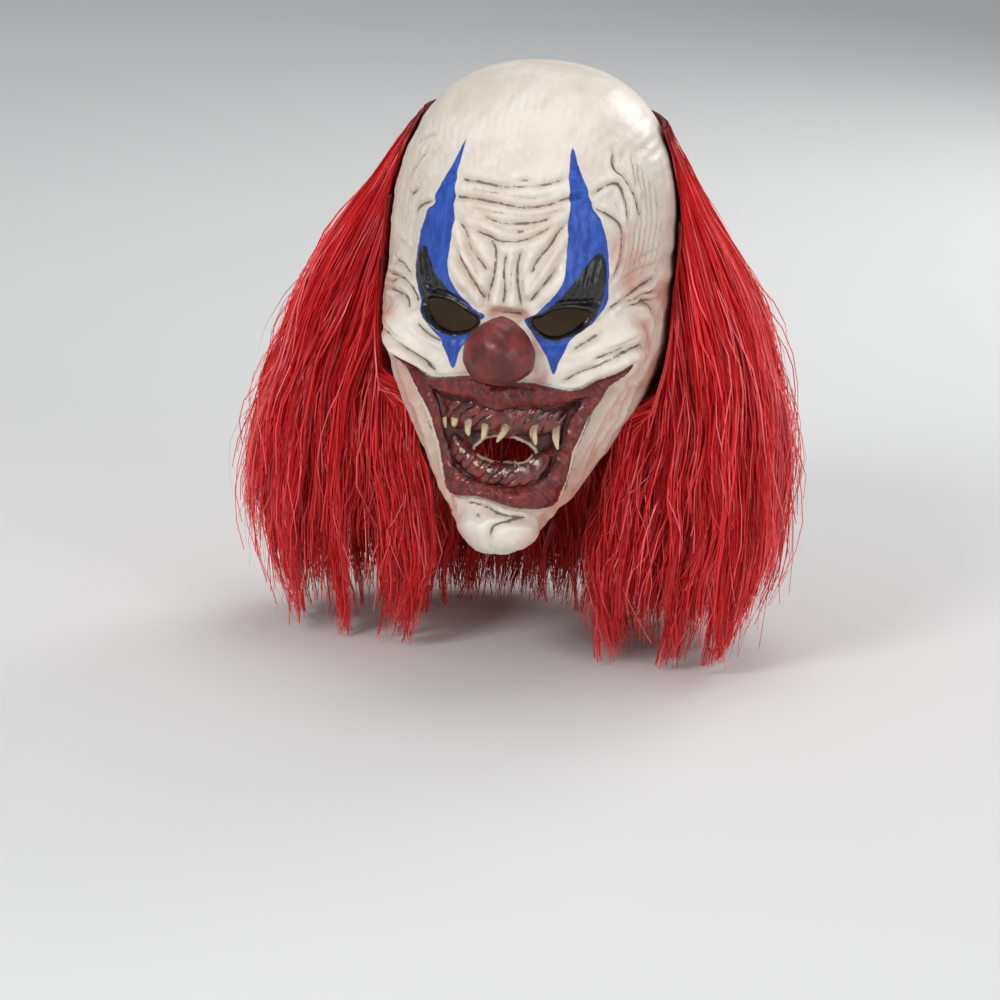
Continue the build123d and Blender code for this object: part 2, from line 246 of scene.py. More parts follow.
# Folds cast into the face, as runs of (x, z): width, depth, the height of the raised sides, runs.
FOLDS = [
    (1.7, 1.7, 1.1, [  # across the brow
        [(-34, 76), (-20, 76), (-7, 75), (5, 76), (17, 78), (28, 82)],
        [(-2, 79), (3, 79), (10, 80)],
        [(-36, 66), (-22, 67), (-8, 66), (6, 65), (18, 67), (29, 71), (39, 72)],
        [(-18, 59), (-8, 56), (2, 56), (15, 58), (23, 62)],
        [(-24, 52), (-13, 48), (-6, 46), (6, 47), (16, 52), (24, 58)],
        [(0, 51), (9, 52)],
    ]),
    (2.2, 2.6, 1.7, [  # frown, running down to the bridge of the nose
        [(-32, 54), (-26, 49), (-22, 40), (-14, 32), (-10, 26)],
        [(-30, 38), (-25, 30), (-18, 20), (-11, 10)],
        [(-13, 48), (-8, 42), (-7, 32), (-9, 20), (-12, 8)],
        [(-1, 42), (-2, 31), (-1, 18), (-2, 9)],
        [(7, 44), (5, 34), (6, 22), (9, 8)],
        [(30, 58), (25, 52), (22, 46), (15, 36), (12, 27)],
        [(27, 36), (22, 27), (16, 18), (11, 11)],
        [(-10, 4), (-5, 6), (1, 7), (8, 6), (11, 3)],
    ]),
    (1.5, 1.5, 0.9, [  # temples and the corners of the eyes
        [(-46, 62), (-54, 58), (-59, 54), (-61, 48)],
        [(-58, 66), (-64, 60), (-66, 54)],
        [(-56, 86), (-62, 76), (-68, 64), (-70, 56)],
        [(41, 72), (46, 76), (52, 78), (56, 74), (60, 64), (61, 54)],
        [(42, 66), (50, 62), (57, 56), (60, 48), (60, 38), (57, 29), (54, 24)],
        [(48, 96), (51, 86), (58, 78), (64, 67), (68, 55)],
        [(76, 22), (68, 18), (61, 13), (54, 7)],
        [(76, 15), (68, 13), (61, 11)],
        [(76, 8), (70, 9), (62, 9)],
        [(-76, 10), (-66, 12), (-58, 9), (-52, 1)],
        [(-76, 3), (-68, 3), (-60, 3), (-53, -2)],
        [(-73, 20), (-66, 20), (-59, 16)],
        [(-50, 16), (-41, 12), (-32, 10.5), (-22, 6)],
        [(49, 14), (40, 13), (31, 13), (21, 8)],
        [(-50, -6), (-42, -13), (-33, -16)],
        [(50, -3), (43, -9), (36, -15)],
    ]),
    (2.6, 2.8, 1.6, [  # from the cheeks down past the mouth
        [(-75, -22), (-72, -18), (-68, -16), (-62, -18), (-52, -24), (-45, -31), (-37, -33)],
        [(-60, -19), (-50, -26), (-41, -31)],
        [(70, -15), (66, -13), (60, -14), (52, -19), (46, -24), (38, -29), (30, -31)],
        [(60, -11), (52, -15), (45, -19)],
        [(69, 12), (74, 7), (77, -2), (77, -13), (74, -24), (67, -33)],
        [(-70, 10), (-75, 5), (-78, -4), (-78, -14), (-74, -24)],
        [(62, -30), (55, -44), (48, -60), (42, -82), (36, -104), (27, -113)],
        [(-64, -32), (-55, -45), (-45, -60), (-38, -78), (-34, -97), (-26, -107)],
    ]),
    (2.0, 1.8, 1.0, [  # jaw and chin
        [(68, -40), (62, -58), (54, -74), (46, -90), (38, -104)],
        [(0, -126), (0, -121), (2, -115), (10, -111), (19, -110)],
        [(-11, -108), (-4, -112)],
        [(-18, -106), (-9, -105), (4, -108), (18, -111)],
    ]),
]

# Fine slack in the latex at the temples, in near-parallel runs.
FOLDS.append((0.9, 0.55, 0.35, [
    [(side * (57 + 3.4 * n), 94 - 5 * n), (side * (64 + 2.5 * n), 66 - 2 * n),
     (side * (66 + 2.1 * n), 46), (side * (64 + 2.2 * n), 26 + n)]
    for side in (-1, 1) for n in range(6)]))
# Single fine creases between the deep folds.
FOLDS.append((0.9, 0.6, 0.4, [
    [(-27, 71.5), (-10, 71), (8, 70), (22, 73)], [(-24, 62), (-8, 61), (12, 61), (30, 66)],
    [(-12, 55), (2, 52), (18, 57)], [(-27, 44), (-20, 35), (-14, 24)], [(24, 44), (17, 32), (11, 20)],
    [(3, 40), (2, 28), (3, 16)], [(10, 30), (8, 24), (9, 16)], [(-64, 86), (-57, 92), (-50, 95)],
    [(-68, -10), (-60, -13), (-50, -18)], [(66, -6), (58, -9), (48, -13)],
    [(-28, -118), (-22, -110), (-26, -104)], [(57, -50), (48, -72), (40, -92)],
    [(51, -46), (44, -64), (38, -86)], [(-51, -50), (-42, -70), (-36, -92)],
    [(64, 30), (70, 36), (76, 38)], [(60, 24), (68, 29), (76, 30)], [(-60, 28), (-67, 32), (-74, 33)]]))

# The grid is close over the face, where the folds are, and open over the back of the head.
FACE_REACH = 66.0
turns = np.concatenate([np.linspace(-180, -FACE_REACH, 42)[:-1],
                        np.linspace(-FACE_REACH, FACE_REACH, 216),
                        np.linspace(FACE_REACH, 180, 42)[1:]])
crown = np.radians(np.concatenate([np.linspace(1.5, 42, 26)[:-1], np.linspace(42, 90, 96)]))
crown_n = (np.sin(crown) ** DOME_POWER + np.cos(crown) ** DOME_POWER) ** (1 / DOME_POWER)
crown_z = DOME_Z + DOME_HEIGHT * np.cos(crown) / crown_n
down = np.linspace(0, 1, 200)[1:]
edge = lower_edge(np.abs(turns))
heights = np.vstack([np.repeat(crown_z[:, None], len(turns), 1),
                     DOME_Z + down[:, None] * (edge - DOME_Z)[None, :]])
rows, columns = heights.shape
place = round_the_head(np.repeat(turns[None, :], rows, 0), heights)

across = np.gradient(place, axis=1)
along = np.gradient(place, axis=0)
normal = np.cross(along, across)
normal /= np.linalg.norm(normal, axis=-1, keepdims=True) + 1e-12
normal[(normal * (place - [0, HEAD_Y, 0])).sum(-1) < 0] *= -1

place = place.reshape(-1, 3)
normal = normal.reshape(-1, 3)
turn_of = np.repeat(turns[None, :], rows, 0).ravel()
flat = place[:, [0, 2]].copy()
face = np.where(np.abs(turn_of) < 100)[0]



def sheet(cell):
    """The facets of a net of points, given the net's point numbers."""
    return np.stack([cell[:-1, :-1], cell[1:, :-1], cell[1:, 1:], cell[:-1, 1:]], -1).reshape(-1, 4)


def tube(cell):
    """The facets of a tube with closed ends; the rows of point numbers go round it."""
    nxt = np.roll(cell, -1, axis=0)
    side = np.stack([cell[:, :-1], nxt[:, :-1], nxt[:, 1:], cell[:, 1:]], -1).reshape(-1, 4)
    return side.tolist() + [cell[:, 0].tolist(), cell[::-1, -1].tolist()]


def renumbered(facets, count):
    """The points that some facets use, and each point's new number among them."""
    used = np.unique(facets)
    number = np.full(count, -1)
    number[used] = np.arange(len(used))
    return used, number


# The cut openings: every corner of a kept facet that falls in one moves to its outline.
corner = np.arange(rows * columns).reshape(rows, columns)
quads = sheet(corner)
cut = np.zeros(len(place), bool)
snapped = flat.copy()
for outline in (EYE_RIGHT, EYE_LEFT, MOUTH):
    _, foot, inside = nearest_on(spline(outline, closed=True), flat[face], closed=True)
    cut[face[inside]] = True
    snapped[face[inside]] = foot[inside]
quads = quads[~cut[quads].all(1)]
moved = np.where(cut)[0]
flat[moved] = snapped[moved]
place[moved] = face_surface(flat[moved, 0], flat[moved, 1])

p = flat[face]
mouth_depth = depth_in(MOUTH, p)
lip_depth = depth_in(LIPS, p)
blue_depth = np.maximum(depth_in(BLUE_RIGHT, p), depth_in(BLUE_LEFT, p))
patch_depth = np.maximum(depth_in(PATCH_RIGHT, p), depth_in(PATCH_LEFT, p))
eye_gap = np.maximum(depth_in(EYE_RIGHT, p), depth_in(EYE_LEFT, p))
black_depth = np.maximum(patch_depth, 2.6 + eye_gap)

height = np.zeros(len(p))
cheeks = np.full(len(p), -30.0)
for side in (-1, 1):
    for bump in (
        (34, 24, 17, 11, 3.6),      # brow over the eye: x, z, width, height and how far out
        (18, 38, 9, 15, 2.6),       # frown muscle
        (31, 0, 19, 10, -5.0),      # eye socket
        (35, -15, 17, 4.5, 2.6),    # bag under the eye
        (64, 40, 9, 22, -2.5),      # temple
        (30, -33, 12, 6, 3.0),      # side of the muzzle
    ):
        height += bump_at(p, side * bump[0], *bump[1:])
    centre = np.array([side * CHEEK_AT[0], CHEEK_AT[1], CHEEK_AT[2]])
    cheeks = np.maximum(cheeks, reach(place[face], normal[face], centre, CHEEK_SIZE))
for bump in (
    (0, 60, 34, 20, 1.5),           # forehead
    (1, 26, 9, 20, 3.0),            # between the brows
    (0, 0, 8, 13, 6.5),             # bridge of the nose
    (0, -22, 15, 13, 3.0),          # seat of the nose
):
    height += bump_at(p, *bump)
height = merge_up(height, np.maximum(cheeks - 1.0, -12), 5.0)
chin = reach(place[face], normal[face], np.array(CHIN_AT), CHIN_SIZE)
height = merge_up(height, np.maximum(chin, -12), 4.0)
height += bump_at(p, -12, -117, 9, 8, 2.6) + bump_at(p, 12, -119, 10, 8, 3.0)

# Lips: a thick roll between the painted outline and the opening, with slanting creases.
LIP_ROLL, LIP_CREASE = 4.6, 3.4
outside = np.maximum(lip_depth, 0)
to_mouth = np.maximum(-mouth_depth, 0)
share = outside / (outside + to_mouth + 1e-6)
height += np.where(lip_depth > 0, LIP_ROLL * np.sin(np.pi * np.clip(share, 0, 1) ** 0.8) ** 0.7, 0)
height -= 1.6 * np.exp(-(lip_depth / 1.6) ** 2)
slanting = 0.95 * p[:, 0] + 0.75 * np.sign(p[:, 0]) * p[:, 1]
creases = np.sin(slanting * 2 * math.pi / LIP_CREASE + 1.2 * lumps(p, 14, 8))
creases *= 0.42 * (0.6 + 0.4 * lumps(p, 10, 9))
height += creases * ease(lip_depth, 0.8, 2.5) * ease(-mouth_depth, 0.3, 1.5)
height += 0.8 * lumps(p, 9, 7) * ease(lip_depth, 1.5, 4)

# Rolled rims round the eyes, and flutes in the black patches above them.
height += 2.4 * np.exp(-((eye_gap + 2.0) / 1.9) ** 2)
FLUTE_APART = 4.2
flute = np.sin((p[:, 0] - 0.3 * np.sign(p[:, 0]) * p[:, 1]) * 2 * math.pi / FLUTE_APART)
height += 0.55 * flute * ease(patch_depth, 0.5, 2.5) * ease(-eye_gap, 3.5, 6.0)

# Folds: a groove with raised banks, fading at its ends and at the lips and eyes. Ink says how far
# the nearest groove is.
FAR = 9.0
ink = np.full(len(p), FAR)
laid = unroll(p)
for width, depth, side_height, runs in FOLDS:
    for run in runs:
        line = spline(unroll(run))
        gap, foot, _ = nearest_on(line, laid)
        ends = np.minimum(*(np.linalg.norm(foot - end, axis=1) for end in (line[0], line[-1])))
        fade = 0.35 + 0.65 * ease(ends, 0, 5)
        free = ease(-lip_depth, -0.5, 2.0) * ease(-eye_gap, 1.0, 3.5)
        banks = side_height * np.exp(-((gap - 2.3 * width) / (1.2 * width)) ** 2)
        height -= (depth * np.exp(-(gap / width) ** 2) - banks) * fade * free
        ink = np.minimum(ink, gap + 2.2 * (1 - fade) + 3 * (1 - free) + 0.5 * (width < 1))

height += 0.35 * lumps(p, 17, 3) + 0.16 * lumps(p, 6.5, 4)
height *= ease(100 - np.abs(turn_of[face]), 0, 22)
place[face] += normal[face] * height[:, None]
uneven = 0.5 * lumps(place, 40, 5) * ease(np.abs(turn_of), 60, 100) * ease(125 - place[:, 2], 0, 40)
place += normal * uneven[:, None]

# Pink rubbed in beside the mouth and over the bridge of the nose; along the jaw and down the far sides of the
# cheeks the same pink is also painted shade.
blush = np.zeros(len(p))
for run, spread in (
    ([(66, -38), (58, -62), (48, -84), (36, -106), (20, -124)], 8),
    ([(-62, -38), (-50, -62), (-38, -84), (-30, -104), (-18, -120)], 7),
    ([(-20, -8), (-15, -20), (-19, -30)], 6),
    ([(18, -8), (15, -20), (20, -30)], 5),
    ([(-8, 5), (0, 8), (10, 5)], 4),
    ([(58, 46), (64, 34), (66, 20)], 7),
    ([(80, 12), (81.5, -6), (80, -24), (72, -42)], 7),
    ([(-80, 12), (-81.5, -6), (-80, -24)], 6),
    ([(-66, -8), (-70, -20), (-66, -28)], 6),
    ([(70, -5), (72, -16), (68, -24)], 5),
):
    gap, _, _ = nearest_on(spline(run), p)
    blush = np.maximum(blush, np.exp(-(gap / spread) ** 2))


def make_mesh(name, points, facets, smooth=True, face_out=False):
    """A new piece from points in millimetres; face_out turns its facets to face outwards."""
    mesh = bpy.data.meshes.new(name)
    mesh.from_pydata((np.asarray(points) * MM).tolist(), [], [list(map(int, facet)) for facet in facets])
    mesh.validate()
    if face_out:
        form = bmesh.new()
        form.from_mesh(mesh)
        bmesh.ops.recalc_face_normals(form, faces=form.faces)
        form.to_mesh(mesh)
        form.free()
    mesh.update()
    if smooth:
        mesh.polygons.foreach_set("use_smooth", np.ones(len(mesh.polygons), bool))
    piece = bpy.data.objects.new(name, mesh)
    bpy.context.scene.collection.objects.link(piece)
    return piece


def keep_value(piece, name, values):
    """Stores one number a point on a piece, for its paint."""
    layer = piece.data.attributes.new(name, "FLOAT", "POINT")
    layer.data.foreach_set("value", np.asarray(values, np.float32))


def apply_modifier(piece, kind, **settings):
    """Works a modifier into a piece's own mesh."""
    made = piece.modifiers.new(kind.lower(), kind)
    for setting, value in settings.items():
        setattr(made, setting, value)
    bpy.context.view_layer.update()
    shown = piece.evaluated_get(bpy.context.evaluated_depsgraph_get())
    mesh = bpy.data.meshes.new_from_object(shown)
    piece.modifiers.clear()
    piece.data = mesh


used, renumber = renumbered(quads, len(place))
top = len(used)
crown_ring = renumber[corner[0, :-1]]
skin_points = np.vstack([place[used], [[0, HEAD_Y, DOME_Z + DOME_HEIGHT]]])
skin_quads = renumber[quads].tolist()
skin_quads += [[top, int(a), int(b)] for a, b in zip(crown_ring, np.roll(crown_ring, -1))]
# The two ends of each row meet at the back of the head.
seam = {int(renumber[corner[r, -1]]): int(renumber[corner[r, 0]]) for r in range(rows)}
skin_quads = [[seam.get(v, v) for v in q] for q in skin_quads]
latex_skin = make_mesh("latex_mask_skin", skin_points, skin_quads, face_out=True)

# What the paint goes by, each with its value away from the face.
side_of_head = ease(np.abs(turn_of[face]), 25, 50) * ease(p[:, 1], -10, 20) * ease(105 - p[:, 1], 0, 20)
paint = {"blue": (blue_depth, -FAR), "black": (black_depth, -FAR), "lips": (lip_depth, -FAR),
         "mouth_edge": (-mouth_depth, 40), "ink": (ink, FAR), "blush": (blush, 0), "relief": (height, 0),
         "flute": (flute, 0), "side": (side_of_head, 0)}
for name, (values, elsewhere) in paint.items():
    whole = np.full(len(place), float(elsewhere))
    whole[face] = values
    keep_value(latex_skin, name, np.append(whole[used], elsewhere))
round_u = np.repeat(((turns + 180) / 360)[None, :], rows, 0).ravel()
down_v = np.repeat(np.linspace(0, 1, rows)[:, None], columns, 1).ravel()
keep_value(latex_skin, "round", np.append(round_u[used], 0.5))
keep_value(latex_skin, "down", np.append(down_v[used], 0))


class Amount:
    """A value in a finish; sums and products of amounts add the nodes that work them out."""

    def __init__(self, finish, socket):
        self.finish = finish
        self.socket = socket

    def maths(self, operation, *values):
        return self.finish.node("Math", {"operation": operation}, dict(enumerate(values)))

    def __add__(self, other):
        return self.maths("ADD", self, other)

    def __sub__(self, other):
        return self.maths("SUBTRACT", self, other)

    def __rsub__(self, other):
        return self.maths("SUBTRACT", other, self)

    def __mul__(self, other):
        return self.maths("MULTIPLY", self, other)

    __radd__ = __add__
    __rmul__ = __mul__


class Finish:
    """A named paint or material, made of nodes."""

    def __init__(self, name, **plain):
        self.material = bpy.data.materials.new(name)
        self.material.use_nodes = True
        self.tree = self.material.node_tree
        self.shader = self.tree.nodes["Principled BSDF"]
        self.give(self.shader, {socket.replace("_", " "): value for socket, value in plain.items()})

    def give(self, node, sockets):
        for key, value in sockets.items():
            if isinstance(value, Amount):
                self.tree.links.new(value.socket, node.inputs[key])
            else:
                node.inputs[key].default_value = value

    def node(self, kind, settings=None, sockets=None, out=0):
        made = self.tree.nodes.new("ShaderNode" + kind)
        for name, value in (settings or {}).items():
            if name == "stops":
                for extra in range(len(value) - 2):
                    made.color_ramp.elements.new(0.5)
                for stop, (at, colour) in zip(made.color_ramp.elements, value):
                    stop.position = at
                    stop.color = (*colour, 1)
            else:
                setattr(made, name, value)
        self.give(made, sockets or {})
        return Amount(self, made.outputs[out])

    def value(self, name):
        return self.node("Attribute", {"attribute_name": name}, out="Fac")

    def place(self):
        return self.node("TexCoord", out="Object")

    def noise(self, scale, detail=3.0, rough=0.55, stretch=None, warp=0.0):
        where = self.place()
        if stretch:
            where = self.node("Mapping", None, {"Vector": where, "Scale": stretch})
        return self.node("TexNoise", None, {"Vector": where, "Scale": scale, "Detail": detail,
                                            "Roughness": rough, "Distortion": warp}, out=0)

    def step(self, value, low, high):
        return self.node("MapRange", {"interpolation_type": "SMOOTHSTEP"},
                         {"Value": value, "From Min": low, "From Max": high})

    def mix(self, share, under, over):
        colours = {key: (*c, 1) if isinstance(c, tuple) else c for key, c in ((6, under), (7, over))}
        return self.node("Mix", {"data_type": "RGBA"}, {0: share, **colours}, out=2)

    def bump(self, height, distance, strength=1.0, under=None):
        sockets = {"Height": height, "Distance": distance, "Strength": strength}
        if under:
            sockets["Normal"] = under
        return self.node("Bump", None, sockets)

    def surface(self, **varying):
        self.give(self.shader, {socket.replace("_", " "): value for socket, value in varying.items()})
        return self.material


skin = Finish("hand_painted_latex", Coat_Roughness=0.2, Specular_IOR_Level=0.4, Subsurface_Weight=0.05,
              Subsurface_Scale=0.008)
mottle = skin.noise(38, 5)
fine = skin.noise(420, 4)
streak = skin.noise(60, 4, 0.65, stretch=(1.0, 1.0, 0.28))
ragged = (skin.noise(330, 4, 0.7) - 0.5) * 2.2
broken = skin.noise(120, 4, 0.6)
brush = skin.noise(150, 4, 0.7, stretch=(1.6, 1.0, 0.35))
ink_gap = skin.value("ink") + ragged * 0.7
relief = skin.value("relief")
cream = skin.mix(skin.step(mottle, 0.35, 0.68), (0.77, 0.675, 0.575), (0.86, 0.785, 0.70))
# Painted highlight: the cream turns paler where the cast relief stands highest.
cream = skin.mix(skin.step(relief + ragged * 0.4, 2.5, 7.5) * 0.5, cream, (0.92, 0.86, 0.78))
cream = skin.mix(skin.step(streak, 0.52, 0.78) * 0.16, cream, (0.58, 0.42, 0.31))
# Pink blush, which along the jaw and on the far sides of the cheeks is painted shade.
pink_and_shade_share = skin.value("blush") * skin.step(mottle + ragged * 0.06, 0.28, 0.6) * 0.85
cream = skin.mix(pink_and_shade_share, cream, (0.62, 0.27, 0.21))
drift = skin.noise(55, 6, 0.75, stretch=(1.0, 1.0, 0.3), warp=1.6) - 0.5
hairline = skin.step(drift, -0.012, 0.0) * skin.step(drift, 0.012, 0.0)
cream = skin.mix(hairline * skin.step(skin.value("side"), 0.25, 0.9) * 0.45, cream, (0.36, 0.27, 0.21))
washed = skin.mix(skin.step(3.0 - ink_gap, 0, 3.0) * 0.34, cream, (0.44, 0.33, 0.25))
drawn = skin.step(skin.step(broken, 0.1, 0.6) * 0.95 - ink_gap, 0, 0.6) * 0.85
lined = skin.mix(drawn, washed, (0.10, 0.072, 0.057))
blue_edge = skin.value("blue") + ragged * 0.35
blue_paint = skin.mix(skin.step(brush, 0.32, 0.7), (0.012, 0.055, 0.34), (0.035, 0.12, 0.56))
blue_paint = skin.mix(skin.step(1.3 - ink_gap, 0, 1.3) * 0.75, blue_paint, (0.004, 0.014, 0.09))
blue_paint = skin.mix(skin.step(0.9 - blue_edge, 0, 0.7) * 0.4, blue_paint, (0.01, 0.03, 0.22))
painted = skin.mix(skin.step(blue_edge, -0.3, 0.3), lined, blue_paint)
lip_edge = skin.value("lips") + ragged * 0.5
lip_streak = skin.noise(210, 5, 0.7, stretch=(1.0, 1.0, 0.5))
lip_paint = skin.mix(skin.step(lip_streak, 0.35, 0.68), (0.095, 0.004, 0.005), (0.27, 0.018, 0.018))
# Painted shade: the lip red darkens in the groove along its outline and where the lip rolls into the mouth
# opening.
lip_paint = skin.mix(skin.step(2.2 - skin.value("lips"), 0, 2.2) * 0.6, lip_paint, (0.045, 0.003, 0.003))
lip_paint = skin.mix(skin.step(1.6 - skin.value("mouth_edge"), 0, 1.6) * 0.6, lip_paint, (0.03, 0.002, 0.002))
painted = skin.mix(skin.step(lip_edge, -0.4, 0.5), painted, lip_paint)
black_edge = skin.value("black") + ragged * 0.3
# Painted highlight: the tops of the flutes in the black patches are a lighter grey.
flute_top_highlight = skin.step(skin.value("flute") + ragged * 0.2, 0.5, 1.1) * 0.4
black_paint = skin.mix(flute_top_highlight, (0.003, 0.003, 0.004), (0.032, 0.030, 0.031))
on_black, on_lips = skin.step(black_edge, -0.3, 0.3), skin.step(lip_edge, -0.4, 0.5)
painted = skin.mix(on_black, painted, black_paint)
glossy = skin.node("Math", {"operation": "MAXIMUM"}, {0: on_black, 1: on_lips})
rough = 0.44 - glossy * 0.14 + (fine - 0.5) * 0.14
pores = skin.bump(fine, 0.0005, 0.5)
folds = skin.bump(skin.noise(95, 5, 0.6), 0.0012, 0.45, under=pores)
wrinkled = skin.bump(lip_streak * skin.step(lip_edge, 0, 1), 0.0016, 0.8, under=folds)
skin.surface(Base_Color=painted, Roughness=rough, Coat_Weight=glossy * 0.35 + 0.08, Normal=wrinkled)

bare = Finish("bare_latex", Roughness=0.62)
bare_mottle = bare.noise(45, 4)
bare.surface(Base_Color=bare.mix(bare.step(bare_mottle, 0.3, 0.7), (0.66, 0.55, 0.38), (0.78, 0.69, 0.52)),
             Roughness=0.55 + bare_mottle * 0.2, Normal=bare.bump(bare.noise(300, 4), 0.0005, 0.6))

latex_skin.data.materials.append(skin.material)
latex_skin.data.materials.append(bare.material)
apply_modifier(latex_skin, "SOLIDIFY", thickness=LATEX * MM, offset=-1, use_rim=True, material_offset=1,
               material_offset_rim=0)


def read_values(items, name, kind=np.int32):
    """One number from each item of a mesh."""
    values = np.zeros(len(items), kind)
    items.foreach_get(name, values)
    return values


def lay_out(piece, u_name, v_name, inner_material=1):
    """Places the paint's own map: the outside on the left, the inside on the right."""
    mesh = piece.data
    u = read_values(mesh.attributes[u_name].data, "value", np.float32)
    v = read_values(mesh.attributes[v_name].data, "value", np.float32)
    vertex = read_values(mesh.loops, "vertex_index")
    start = read_values(mesh.polygons, "loop_start")
    material = read_values(mesh.polygons, "material_index")
    size = np.diff(np.append(start, len(vertex)))
    owner = np.repeat(np.arange(len(start)), size)
    lu, lv = u[vertex].astype(float), v[vertex].astype(float)
    wide = np.maximum.reduceat(lu, start) - np.minimum.reduceat(lu, start)
    lu = np.where((wide[owner] > 0.5) & (lu < 0.5), lu + 1, lu)
    inside = material[owner] == inner_material
    lu = np.where(inside, 0.78 + lu * 0.2, 0.01 + lu * 0.74)
    layer = mesh.uv_layers.new(name="OFBake")
    layer.data.foreach_set("uv", np.stack([lu, 0.99 - 0.98 * lv], 1).astype(np.float32).ravel())


lay_out(latex_skin, "round", "down")
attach(latex_skin, "mask")
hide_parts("latex_skin")

# ---------------------------------------------------------------- the nose
# A hollow latex ball, cast on its own, painted dark red and glued over the bridge of the nose.
# Its skin is a little lumpy, and it is pulled in where the cement holds it to the face.

NOSE_AT, NOSE_SIZE = np.array([0.0, -112.0, -12.0]), np.array([19.6, 16.6, 18.8])
NOSE_ROUND, NOSE_ALONG, NOSE_POLE = 120, 80, 0.02
turn, tilt = np.meshgrid(np.linspace(0, 2 * math.pi, NOSE_ROUND + 1)[:-1],
                         np.linspace(NOSE_POLE, math.pi - NOSE_POLE, NOSE_ALONG), indexing="ij")
way = np.stack([np.sin(tilt) * np.cos(turn), -np.cos(tilt), np.sin(tilt) * np.sin(turn)], -1)
way = way.reshape(-1, 3)                                   # the pole faces forward
swell = 1 + 0.022 * lumps(way * 30, 26, 21) + 0.010 * lumps(way * 30, 11, 22)
swell *= 1 + 0.05 * np.exp(-((way[:, 2] + 0.55) / 0.4) ** 2) - 0.07 * ease(way[:, 1], 0.3, 0.9)
egg = 1 - 0.24 * ease(way[:, 2], 0.0, 1.0) + 0.04 * ease(-way[:, 2], -0.2, 0.6)
egg_shape = np.stack([egg, 0.5 + 0.5 * egg, np.ones(len(egg))], 1)
nose_points = NOSE_AT + way * NOSE_SIZE * swell[:, None] * egg_shape
nose_facets = tube(np.arange(NOSE_ROUND * NOSE_ALONG).reshape(NOSE_ROUND, NOSE_ALONG))
nose = make_mesh("red_nose", nose_points, nose_facets, face_out=True)
keep_value(nose, "seat", ease(way[:, 1], -0.35, 0.6))
keep_value(nose, "underside", ease(-way[:, 2], -0.1, 0.6))
red = Finish("nose_paint", Coat_Roughness=0.3, Specular_IOR_Level=0.5)
red_mottle = red.noise(90, 5)
red_pores = red.noise(900, 3)
seat = red.value("seat")
nose_red = red.mix(red.step(red_mottle, 0.36, 0.66), (0.085, 0.005, 0.006), (0.22, 0.014, 0.014))
edge = red.step(seat + (red_mottle - 0.5) * 0.6, 0.25, 0.95)
nose_red = red.mix(edge * 0.75, nose_red, (0.42, 0.13, 0.10))
# Painted shadow: the underside of the nose, where it meets the face, turns near black.
nose_red = red.mix(edge * red.value("underside"), nose_red, (0.018, 0.003, 0.003))
red.surface(Base_Color=nose_red, Roughness=0.34 + red_mottle * 0.22, Coat_Weight=0.25 + red_mottle * 0.2,
            Normal=red.bump(red_pores, 0.0004, 0.7, under=red.bump(red.noise(160, 4), 0.0008, 0.5)))
nose.data.materials.append(red.material)
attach(nose, "mask")
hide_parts("nose_bulb")

# ---------------------------------------------------------------- the mouth tray
# A dished latex insert glued behind the mouth opening. It carries two lumpy gum ridges, and a
# slot cut through its floor lets the wearer breathe and see a little.

TRAY_FLOOR, TRAY_MARGIN, TRAY_WALL = 9.0, 4.5, 2.2
BREATH_AT, BREATH_SIZE = (3.5, -74.0), (16.5, 7.6)
GUM_FRONT, GUM_BOW = -90.0, 14.5
UPPER_GUM = {"z": -53.5, "lift": 0.0, "reach": 40.0, "tall": 8.6, "deep": 6.2}
LOWER_GUM = {"z": -88.0, "lift": 9.0, "reach": 28.0, "tall": 6.2, "deep": 5.4}
UPPER_X = [-31, -25.5, -16, -7, 4.5, 19.5, 30.5]
LOWER_X = [-19.5, -11, -3.5, 5, 14, 21]
TRAY_NET = (150, 94)
gx, gz = np.meshgrid(np.linspace(-50, 52, TRAY_NET[0]), np.linspace(-99, -36, TRAY_NET[1]), indexing="ij")
tray_flat = np.stack([gx.ravel(), gz.ravel()], 1)
tray_depth = depth_in(MOUTH, tray_flat)
ring = np.linspace(0, 2 * math.pi, 25)[:-1]
breath = np.stack([BREATH_AT[0] + BREATH_SIZE[0] * np.cos(ring),
                   BREATH_AT[1] + BREATH_SIZE[1] * np.sin(ring) - 0.8 * np.cos(2 * ring)], 1)
_, breath_foot, in_breath = nearest_on(spline(breath, closed=True), tray_flat, closed=True)
tray_quads = sheet(np.arange(len(tray_flat)).reshape(TRAY_NET))
keep = ~(in_breath[tray_quads].all(1)) & (tray_depth[tray_quads].min(1) > -TRAY_MARGIN)
tray_quads = tray_quads[keep]
tray_flat[in_breath] = breath_foot[in_breath]
tray_gap, _, _ = nearest_on(spline(breath, closed=True), tray_flat, closed=True)
x, z = tray_flat.T
bare_y = face_surface(x, z)[:, 1]
tray_y = bare_y + LATEX + 0.5 + (TRAY_FLOOR - LATEX) * ease(tray_depth, -1.0, 6.0) ** 0.8
tray_y += 0.7 * lumps(tray_flat, 12, 31)
tray_y -= 1.5 * np.exp(-(tray_gap / 1.5) ** 2)
gum_share = np.zeros(len(x))
